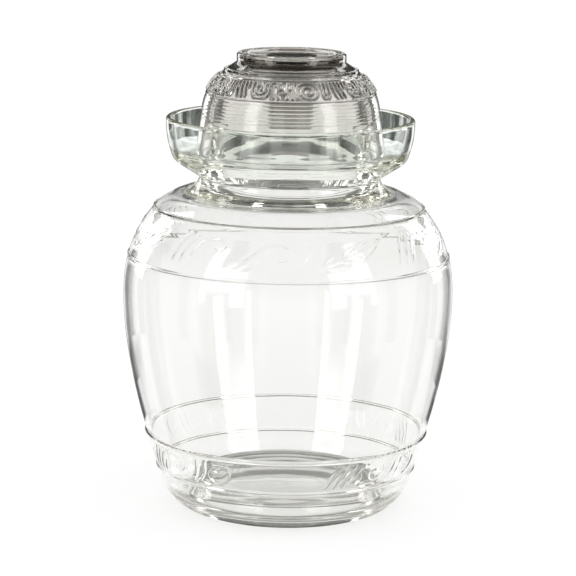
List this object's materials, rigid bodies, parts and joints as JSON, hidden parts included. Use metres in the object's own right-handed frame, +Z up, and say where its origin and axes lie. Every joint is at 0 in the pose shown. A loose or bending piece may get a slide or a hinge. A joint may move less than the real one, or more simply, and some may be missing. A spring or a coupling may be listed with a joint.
{
  "type": "glass pickling jar",
  "caption": "Round clear glass pickling jar with a moulded belly, a flared water-seal ring round its neck and an upturned footed bowl that lifts off as its lid.",
  "frame": {"origin": "centre of the flat foot ring, at the height of the surface that the jar stands on", "axes": "+Z up along the jar's axis, from the foot to the lid; the jar is round, and -Y faces the viewer of the picture"},
  "size_m": [0.21, 0.21, 0.2924],
  "materials": {
    "body_glass": "clear, smooth, with moulded bead rings",
    "collar_glass": "clear with a faint green tint, smooth",
    "lid_glass": "clear pressed glass, with a moulded key band and fine rings"
  },
  "bodies": {
    "jar": {"jar_body": "body_glass", "seal_collar": "collar_glass"},
    "lid": {"bowl_lid": "lid_glass"}
  },
  "joints": [
    {"name": "lid_lift", "type": "slide", "parent": "jar", "child": "lid", "axis": [0, 0, 1], "range_m": [0, 0.06]}
  ]
}
